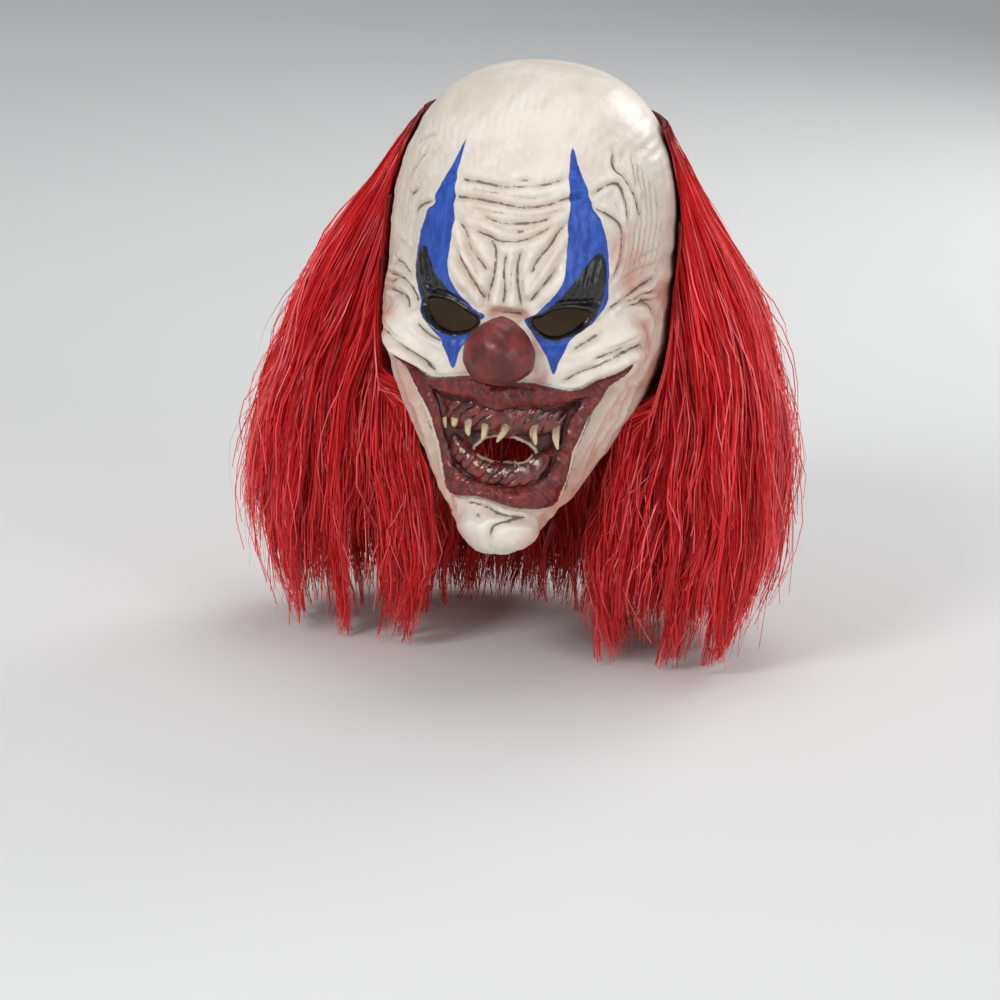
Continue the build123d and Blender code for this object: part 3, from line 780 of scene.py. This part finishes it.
for gum, crowns in ((UPPER_GUM, UPPER_X), (LOWER_GUM, LOWER_X)):
    swell = 1 + 0.16 * sum(np.exp(-((x - at) / 3.0) ** 2) for at in crowns)
    swell += 0.09 * lumps(tray_flat, 6, 33)
    swell *= ease(gum["reach"] + 5 - np.abs(x), 0, 9)
    off = (z - gum["z"] - gum["lift"] * ((x - 3) / 23) ** 2) / (gum["tall"] * np.maximum(swell, 0.05))
    gum_y = GUM_FRONT + GUM_BOW * (x / 35) ** 2 - gum["deep"] * swell * np.sqrt(np.clip(1 - off ** 2, 0, 1))
    on = np.where(np.abs(off) < 1, np.clip(tray_y - gum_y, 0, 20), 0)
    tray_y = -merge_up(-tray_y, np.where(np.abs(off) < 1, -gum_y, -tray_y - 3), 1.2)
    gum_share = np.maximum(gum_share, ease(on, 0.2, 2.5))
used, renumber = renumbered(tray_quads, len(x))
tray = make_mesh("mouth_insert", np.stack([x, tray_y, z], 1)[used], renumber[tray_quads][:, ::-1])
keep_value(tray, "gum", gum_share[used])
keep_value(tray, "breath_edge", tray_gap[used])
flesh = Finish("mouth_paint", Coat_Roughness=0.15, Specular_IOR_Level=0.5)
flesh_mottle = flesh.noise(130, 5)
gum_on = flesh.value("gum")
# The floor between the gums is dark red-brown latex, painted darker still as the shade inside the mouth.
inside_paint_and_shade = flesh.mix(flesh.step(flesh_mottle, 0.35, 0.7), (0.035, 0.006, 0.005), (0.105, 0.020, 0.016))
gum_paint = flesh.mix(flesh.step(flesh_mottle, 0.35, 0.7), (0.06, 0.004, 0.005), (0.23, 0.020, 0.019))
rim_gap = flesh.value("breath_edge") + (flesh.noise(300, 3) - 0.5) * 0.9
mouth_colour = flesh.mix(gum_on, inside_paint_and_shade, gum_paint)
mouth_colour = flesh.mix(flesh.step(1.1 - rim_gap, 0, 0.6) * 0.8, mouth_colour, (0.52, 0.40, 0.30))
flesh.surface(Base_Color=mouth_colour, Roughness=0.5 - gum_on * 0.26, Coat_Weight=gum_on * 0.7 + 0.1,
              Normal=flesh.bump(flesh.noise(240, 5), 0.0012, 0.7))
tray.data.materials.append(flesh.material)
apply_modifier(tray, "SOLIDIFY", thickness=TRAY_WALL * MM, offset=-1)
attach(tray, "mask")
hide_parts("mouth_tray")

# ---------------------------------------------------------------- the teeth
# Seven long crooked pegs in the upper gum and six stubs in the lower one, each cast by itself in
# hard ivory resin, pushed into its own socket and stained brown from the gum down.


def peg(name, root, tip, thick, hook, seed, node):
    """One peg from its root to its tip, bent sideways by hook, all in millimetres."""
    source = np.random.default_rng(seed)
    stations, round_about = 26, 18
    u = np.linspace(0, 1, stations)
    root, tip = np.array(root, float), np.array(tip, float)
    line = root + (tip - root) * u[:, None]
    line[:, 0] += hook * np.sin(math.pi * u) + 0.25 * np.sin(u * 9 + source.uniform(0, 6))
    line[:, 1] -= 1.4 * np.sin(math.pi * u * 0.8)
    width = thick * (1 - 0.10 * u - 0.40 * u ** 2.6) * np.sqrt(np.clip(1 - u ** 8, 0, 1)) + 0.02
    width *= 1 + 0.06 * np.sin(u * 17 + seed)
    turn = np.linspace(0, 2 * math.pi, round_about + 1)[:-1]
    ridged = 1 + 0.07 * np.sin(3 * turn + seed) + 0.04 * np.sin(5 * turn + 2 * seed)
    rings = np.stack([np.cos(turn) * ridged, 0.85 * np.sin(turn) * ridged, 0 * turn], 1)
    points = (line[:, None, :] + rings[None] * width[:, None, None]).reshape(-1, 3)
    cell = np.arange(stations * round_about).reshape(stations, round_about)
    made = make_mesh(name, points, tube(cell.T), face_out=True)
    keep_value(made, "from_gum", np.repeat(u, round_about))
    made.data.materials.append(ivory.material)
    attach(made, "mask")
    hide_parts(node)


ivory = Finish("stained_ivory", Coat_Roughness=0.12, Specular_IOR_Level=0.5, Subsurface_Weight=0.08,
               Subsurface_Scale=0.004)
from_gum = ivory.value("from_gum")
grain = ivory.noise(500, 4, 0.6, stretch=(1.0, 1.0, 0.2))
stain = ivory.step(from_gum + (grain - 0.5) * 0.9, 0.15, 0.75)
tooth_colour = ivory.mix(stain, (0.12, 0.05, 0.02), (0.66, 0.53, 0.33))
tooth_colour = ivory.mix(ivory.step(grain, 0.48, 0.66) * 0.75, tooth_colour, (0.15, 0.07, 0.03))
ivory.surface(Base_Color=tooth_colour, Roughness=0.24 + grain * 0.2, Coat_Weight=0.35 + grain * 0.2,
              Normal=ivory.bump(grain, 0.0004, 0.8))

UPPER_TIPS = [(-31.5, -65), (-26, -63), (-16.5, -66), (-8.5, -67), (0, -67.5), (21, -68), (33, -71)]
UPPER_HOOKS = [-1.0, 0.8, -0.8, 0.6, 1.6, -0.8, -0.6]
LOWER_RISE = [6.0, 5.0, 4.5, 5.0, 5.5, 6.0]
UPPER_THICK, LOWER_THICK, LOWER_HOOK = 2.6, 2.3, 0.4
for number, (root_x, (tip_x, tip_z), hook) in enumerate(zip(UPPER_X, UPPER_TIPS, UPPER_HOOKS), 1):
    y = GUM_FRONT + GUM_BOW * (root_x / 35) ** 2 - UPPER_GUM["deep"]
    peg(f"upper_peg_{number}", (root_x, y + 1.4, UPPER_GUM["z"] + 3.0), (tip_x, y - 1.8, tip_z),
        UPPER_THICK, hook, 40 + number, f"upper_tooth_{number}")
for number, (root_x, rise) in enumerate(zip(LOWER_X, LOWER_RISE), 1):
    y = GUM_FRONT + GUM_BOW * (root_x / 35) ** 2 - LOWER_GUM["deep"]
    ridge = LOWER_GUM["z"] + LOWER_GUM["lift"] * ((root_x - 3) / 23) ** 2
    peg(f"lower_peg_{number}", (root_x, y + 2.5, ridge - 1.0), (root_x * 1.05, y - 1.6, ridge + rise),
        LOWER_THICK, LOWER_HOOK, 60 + number, f"lower_tooth_{number}")

# ---------------------------------------------------------------- the weft tapes
# Three woven cotton tapes, glued round the casting from temple to temple, one above the other.
# The hair is folded over each of them and held by two rows of lock stitch.

TAPE_LEVEL = {"upper": 95.0, "middle": 46.0, "lower": 12.0}
TAPE_TALL, TAPE_THICK, TAPE_GLUE = 9.0, 1.4, 0.3
TAPE_START = 92.0           # plan angle from the nose to a tape's end
TAPE_POINTS = 260
STITCH = 1.25               # how far a row of stitches stands out, as a share of the tape's thickness
TAPE_PROFILE = [(0.0, -0.5), (1.0, -0.5), (STITCH, -0.36), (1.0, -0.30), (1.1, 0.0), (1.0, 0.30),
                (STITCH, 0.36), (1.0, 0.5), (0.0, 0.5)]


def tape_line(level, proud):
    """Points along a tape's run round the head, from one temple over the back to the other."""
    turn = np.linspace(TAPE_START, 360 - TAPE_START, TAPE_POINTS)
    wrapped = np.where(turn > 180, turn - 360, turn)
    head = round_the_head(wrapped, np.full(TAPE_POINTS, level))
    out = head - [0, HEAD_Y, level]
    out[:, 2] = 0
    return head + out / np.linalg.norm(out, axis=1, keepdims=True) * proud


cotton = Finish("woven_cotton_tape", Roughness=0.85)
weave = cotton.node("TexWave", {"bands_direction": "Z"},
                    {"Vector": cotton.place(), "Scale": 420, "Distortion": 0.6}, out=0)
cross = cotton.noise(1500, 2)
cotton.surface(Base_Color=cotton.mix(weave * 0.6 + cross * 0.4, (0.09, 0.008, 0.01), (0.28, 0.035, 0.035)),
               Roughness=0.8 + cross * 0.15, Normal=cotton.bump(weave + cross * 0.5, 0.0003, 0.8))
for level_name, level in TAPE_LEVEL.items():
    strips = []
    for out_share, up_share in TAPE_PROFILE:
        strip = tape_line(level, TAPE_GLUE + TAPE_THICK * out_share)
        if out_share == STITCH:                            # two points of stitch, then one of bare tape
            strip[1::3] = tape_line(level, TAPE_GLUE + TAPE_THICK)[1::3]
        strip[:, 2] += up_share * TAPE_TALL
        strips.append(strip)
    cell = np.arange(len(strips) * TAPE_POINTS).reshape(-1, TAPE_POINTS)
    tape = make_mesh(f"stitched_tape_{level_name}", np.vstack(strips), tube(cell), smooth=False,
                     face_out=True)
    tape.data.materials.append(cotton.material)
    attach(tape, "mask")
    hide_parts(f"weft_tape_{level_name}")

# ---------------------------------------------------------------- the hair
# Long red synthetic hair in three rows of weft, each in a left, a right and a back curtain that
# hang from the tapes, lift like flaps and overlap down the head. The fibre is crimped and matted.

SIDE_LINES = [  # (x, z) down the outside of each row, and last the inside of the lowest
    [(69.5, 105), (81.5, 85), (93, 62), (112, 34), (134, -8), (152, -69), (160, -116), (157, -160),
     (143, -200)],
    [(75, 93), (80.5, 78), (89, 56), (100, 30), (113, -12), (124, -69), (129, -116), (128, -160),
     (122, -208)],
    [(84.3, 46), (86, 36), (89.5, 20), (95, -12), (101, -69), (102, -116), (100, -160), (94, -213)],
    [(85, 12), (85.5, 0), (84.5, -16), (79, -45), (69, -78), (60, -110), (54, -138), (53, -168), (59, -211)],
]
BACK_LINES = [  # (y, z), in the same order
    [(93, 106), (105, 91), (118, 66), (129, 36), (138, -8), (142, -69), (143, -116), (139, -160),
     (128, -200)],
    [(101, 94), (107, 82), (115, 60), (122, 34), (129, -8), (131, -69), (130, -116), (126, -160),
     (119, -208)],
    [(113.2, 46), (116, 34), (119.5, 14), (121.5, -12), (120, -69), (116, -116), (111, -160), (104, -213)],
    [(114, 12), (114, 0), (112.5, -16), (104, -47), (94, -78), (88, -110), (84, -150), (88, -211)],
]
hair_front = smooth_curve([(112, 14), (80, 4), (40, -8), (-12, -18), (-69, -28), (-116, -36),
                           (-160, -36), (-216, -24)])
MITRE_TURN = 50.0           # plan angle, from the side to the back, where two curtains part
SAMPLES = 16                # points down each fibre
PER_CLUMP = 26              # fibres that mat together
GATHER = 0.70               # how far a clump draws in towards its tip
STRAY_SHARE = 0.14
STRAY_LIFT = 9.0
TIP_Z = -212.5              # no fibre hangs below this, just clear of the floor
HEAD_ENDS_Z = -60           # the head pushes no hair away below this level


def row_line(line, root_z, share):
    """A row's guide line from its root down, at shares of its length."""
    dense = spline(line, steps=12)
    kept = dense[dense[:, 1] <= root_z]
    cut_at = np.array([[np.interp(-root_z, -dense[:, 1], dense[:, 0]), min(root_z, dense[0, 1])]])
    kept = np.vstack([cut_at, kept])
    run = np.concatenate([[0], np.cumsum(np.linalg.norm(np.diff(kept, axis=0), axis=1))])
    return np.stack([np.interp(share * run[-1], run, kept[:, k]) for k in (0, 1)], -1)


def curtain(side, tier, strands, seed):
    """One curtain of hair: clumps of fine ribbons from the tape to ragged tips."""
    source = np.random.default_rng(seed)
    index = ["upper", "middle", "lower"].index(tier)
    root_z = TAPE_LEVEL[tier] + 3
    clumps = strands // PER_CLUMP
    clump_s, clump_q = source.uniform(0, 1, clumps), source.uniform(0, 1, clumps) ** 0.7
    clump_end = source.uniform(0.72, 1.0, clumps)
    clump_phase = source.uniform(0, 6.28, (clumps, 4))
    clump_wave = source.uniform(0.4, 1.0, clumps)
    owner = source.integers(0, clumps, strands)
    stray = source.uniform(0, 1, strands) < STRAY_SHARE
    wander = source.normal(0, 1, (strands, 2))
    s0 = np.clip(clump_s[owner] + wander[:, 0] * 0.035, 0, 1)
    q0 = np.clip(clump_q[owner] + wander[:, 1] * 0.16, 0, 1)
    lengthen = 0.80 + 0.20 * clump_q[owner] if side != "back" else 0.95
    end = np.clip(clump_end[owner] * lengthen + source.normal(0, 0.07, strands), 0.5, 1.0)
    u = np.linspace(0, 1, SAMPLES)[None, :] * end[:, None]
    gather = GATHER * ease(u, 0.25, 1.0)
    s = s0[:, None] + (clump_s[owner] - s0)[:, None] * gather
    q = q0[:, None] + (clump_q[owner] - q0)[:, None] * gather

    outer_side, inner_side = (row_line(SIDE_LINES[index + k], root_z, u) for k in (0, 1))
    outer_back, inner_back = (row_line(BACK_LINES[index + k], root_z, u) for k in (0, 1))
    close = (q * (1 + 1.1 * (1 - ease(u, 0.06, 0.5))))[..., None]
    side_xz = outer_side + (inner_side - outer_side) * close
    back_yz = outer_back + (inner_back - outer_back) * close

    # Plan angle: 0 straight out to the side, 90 straight back.
    if side == "back":
        angle = MITRE_TURN + (180 - 2 * MITRE_TURN) * (0.5 + (s - 0.5) * 0.985)
    else:
        sine = (hair_front(side_xz[..., 1]) - HEAD_Y) / (back_yz[..., 0] - HEAD_Y)
        first = np.degrees(np.arcsin(np.clip(sine, -0.9, 0.9)))
        angle = first + (MITRE_TURN - 0.6 - first) * s
    angle = np.radians(angle)
    c, k = np.cos(angle), np.sin(angle)
    z = side_xz[..., 1] * c ** 2 + back_yz[..., 1] * k ** 2
    x = side_xz[..., 0] * c
    y = HEAD_Y + (back_yz[..., 0] - HEAD_Y) * k
    # At the root the fibres come together on the tape.
    near = 1 - ease(u, 0.0, 0.10)
    head = round_the_head(90 + np.degrees(angle[:, :1]), np.full((strands, 1), TAPE_LEVEL[tier]))
    out = head - [0, HEAD_Y, 0]
    out[..., 2] = 0
    root = head + out / np.linalg.norm(out, axis=-1, keepdims=True) * 1.6
    root[..., 2] = root_z - 4.5 + source.uniform(0, 4, (strands, 1))
    x = x + (np.abs(root[..., 0]) * np.sign(c) - x) * near
    y = y + (root[..., 1] - y) * near
    z = z + (root[..., 2] - z) * near

    # Slow waves shared by a clump, a crimp of its own for each fibre, and a few strays.
    phase = clump_phase[owner]
    wave = clump_wave[owner][:, None] * ease(u, 0.08, 0.6)
    lengthwise = u * 2 * math.pi
    sway = 7.5 * wave * np.sin(1.1 * lengthwise + phase[:, 0:1])
    sway = sway + 3.2 * wave * np.sin(3.1 * lengthwise + phase[:, 1:2])
    fold = 4.0 * wave * np.sin(1.4 * lengthwise + phase[:, 2:3])
    fold = fold + 1.6 * wave * np.sin(4.3 * lengthwise + phase[:, 3:4])
    own = source.uniform(0, 6.28, (strands, 4))
    crimp = (0.9 + 3.4 * stray * source.uniform(0.3, 1.5, strands))[:, None] * ease(u, 0.04, 0.5)
    lift = stray * source.uniform(0, 1, strands) * (q0 < 0.5) * STRAY_LIFT
    sway = sway + crimp * np.sin(own[:, 0:1] + (4 + 4 * own[:, 2:3] / 6.28) * lengthwise / 2)
    fold = fold + crimp * np.sin(own[:, 1:2] + (4 + 3 * own[:, 3:4] / 6.28) * lengthwise / 2)
    fold = fold + lift[:, None] * ease(u, 0.1, 0.7)
    inward = np.where(fold > 0, 1.0, 0.75)
    x = x + k * -sway + c * fold * inward
    y = y + c * sway + k * fold * inward
    z = np.maximum(z + 0.8 * crimp * np.sin(own[:, 2:3] + 3 * lengthwise), TIP_Z)

    # No fibre passes through the head.
    plan = np.degrees(np.arctan2(x, -(y - HEAD_Y)))
    head = round_the_head(plan, np.maximum(z, HEAD_ENDS_Z))
    room = np.hypot(head[..., 0], head[..., 1] - HEAD_Y) + 2.2 + 2.0 * q0[:, None] ** 2
    away = np.hypot(x, y - HEAD_Y)
    push = np.where(z > HEAD_ENDS_Z, np.maximum(room / away, 1), 1)
    x, y = x * push, HEAD_Y + (y - HEAD_Y) * push
    if side == "right":
        x = -x
    points = np.stack([x, y, z], -1)
    # Each fibre is a thin ribbon that twists as it falls.
    tangent = np.gradient(points, axis=1)
    tangent /= np.linalg.norm(tangent, axis=-1, keepdims=True) + 1e-9
    facing = own[:, 3:4] + u * source.uniform(2, 7, (strands, 1))
    spin = np.stack([np.cos(facing), np.sin(facing), 0 * facing], -1)
    edge = np.cross(tangent, spin)
    edge /= np.linalg.norm(edge, axis=-1, keepdims=True) + 1e-9
    taper = 1 - 0.45 * np.linspace(0, 1, SAMPLES)[None, :] ** 2
    wide = source.uniform(0.26, 0.50, (strands, 1)) * taper
    offset = edge * wide[..., None]
    verts = np.stack([points - offset, points + offset], 2).reshape(-1, 3)
    base = (np.arange(strands)[:, None] * SAMPLES + np.arange(SAMPLES - 1)[None, :]) * 2
    facets = np.stack([base, base + 1, base + 3, base + 2], -1).reshape(-1, 4)
    made = make_mesh(f"hair_curtain_{side}_{tier}", verts, facets)
    tint = 0.44 + 0.15 * source.normal(size=strands) + 0.13 * source.normal(size=clumps)[owner]
    # Strays, and the outermost fibres of the upper row, get a higher tint, which lightens them: a painted
    # highlight.
    tint = tint + 0.3 * stray
    tint = np.clip(tint + 0.38 * (1 - q0) ** 3 * (tier == "upper"), 0.01, 0.99)
    keep_value(made, "tint", np.repeat(tint, SAMPLES * 2))
    down = np.repeat(u.reshape(-1), 2)
    keep_value(made, "down_the_hair", down)
    vertex = read_values(made.data.loops, "vertex_index")
    across = (vertex % 2) * 0.004
    layer = made.data.uv_layers.new(name="OFBake")
    uv = np.stack([np.repeat(tint, SAMPLES * 2)[vertex] * 0.98 + across, 0.01 + 0.98 * down[vertex]], 1)
    layer.data.foreach_set("uv", uv.astype(np.float32).ravel())
    made.data.materials.append(fibre.material)
    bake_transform(made)
    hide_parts(f"hair_{side}_{tier}")


fibre = Finish("red_synthetic_hair", Specular_IOR_Level=0.55, Sheen_Weight=0.15, Sheen_Roughness=0.4)
tint = fibre.value("tint")
length_share = fibre.value("down_the_hair")
hair_red = fibre.mix(fibre.step(tint, 0.15, 0.85), (0.52, 0.002, 0.004), (0.93, 0.010, 0.014))
# Painted shade: each fibre turns darker red close to its root.
hair_red = fibre.mix(fibre.step(length_share, 0.0, 0.12), (0.30, 0.003, 0.006), hair_red)
# Painted highlight: the lightest fibres, more so towards their tips, turn pale pink.
pale_highlight = fibre.step(tint + length_share * 0.12, 0.74, 1.0) * 0.65
hair_red = fibre.mix(pale_highlight, hair_red, (0.90, 0.19, 0.19))
fibre.surface(Base_Color=hair_red, Roughness=0.44 - tint * 0.12)
STRANDS = {"upper": 6400, "middle": 4400, "lower": 3400}
for tier_number, tier in enumerate(("upper", "middle", "lower")):
    for side_number, side in enumerate(("left", "right", "back")):
        count = STRANDS[tier] + (200 if side == "back" else 0)
        curtain(side, tier, count, 100 + 10 * tier_number + side_number)

# ---------------------------------------------------------------- the studio
# A plain pale floor and soft lamps. The camera stands a little above the eyes and to the
# wearer's left, and leans, as someone holding it by hand would.

floor_z = cad_box[0][2] - 0.001
bpy.ops.mesh.primitive_circle_add(vertices=96, radius=7.0, fill_type="NGON", location=(0, 0, floor_z))
floor = bpy.context.object
floor.name = "studio_floor"
pale = Finish("pale_floor", Roughness=0.9)
pale.surface(Base_Color=pale.mix(pale.noise(3, 3), (0.78, 0.78, 0.77), (0.82, 0.82, 0.81)))
floor.data.materials.append(pale.material)

world = bpy.data.worlds.new("pale_room")
world.use_nodes = True
world.node_tree.nodes["Background"].inputs["Color"].default_value = (0.80, 0.82, 0.85, 1)
world.node_tree.nodes["Background"].inputs["Strength"].default_value = 0.42
bpy.context.scene.world = world
bpy.context.scene.view_settings.view_transform = "Standard"


def soft_lamp(name, place, aim, size, power):
    lamp = bpy.data.lights.new(name, "AREA")
    lamp.shape = "RECTANGLE"
    lamp.size, lamp.size_y = size
    lamp.energy = power
    made = bpy.data.objects.new(name, lamp)
    made.location = place
    made.rotation_euler = (Vector(aim) - Vector(place)).to_track_quat("-Z", "Y").to_euler()
    bpy.context.scene.collection.objects.link(made)


soft_lamp("key_lamp", (-0.9, -1.9, 1.3), (0, 0, -0.02), (0.7, 0.7), 25)
soft_lamp("fill_lamp", (1.5, -1.5, 0.5), (0, 0, -0.02), (1.2, 1.2), 11)
soft_lamp("top_lamp", (0.2, 0.4, 1.9), (0, 0, 0), (1.2, 1.2), 11)
soft_lamp("back_lamp", (0.9, 1.8, 0.9), (0, 0, -0.05), (0.9, 0.9), 14)

AZIMUTH, ELEVATION, LEAN = math.radians(7.5), math.radians(12.0), math.radians(3.7)
back_way = Vector((math.sin(AZIMUTH) * math.cos(ELEVATION), -math.cos(AZIMUTH) * math.cos(ELEVATION),
                   math.sin(ELEVATION)))
level_way = Vector((math.cos(AZIMUTH), math.sin(AZIMUTH), 0))
upright = back_way.cross(level_way)
up_way = upright * math.cos(LEAN) - level_way * math.sin(LEAN)
right_way = level_way * math.cos(LEAN) + upright * math.sin(LEAN)
CAMERA_AWAY = 2.4
stand = back_way * CAMERA_AWAY
aim = right_way * -0.01725 + up_way * -0.1213
look = (stand - aim).normalized()
side_way = up_way.cross(look).normalized()
true_up = look.cross(side_way)
camera_data = bpy.data.cameras.new("camera")
camera_data.lens = 150.0
camera_data.sensor_width = 36.0
camera = bpy.data.objects.new("camera", camera_data)
camera.matrix_world = Matrix.Translation(stand) @ Matrix((side_way, true_up, look)).transposed().to_4x4()
bpy.context.scene.collection.objects.link(camera)
bpy.context.scene.camera = camera
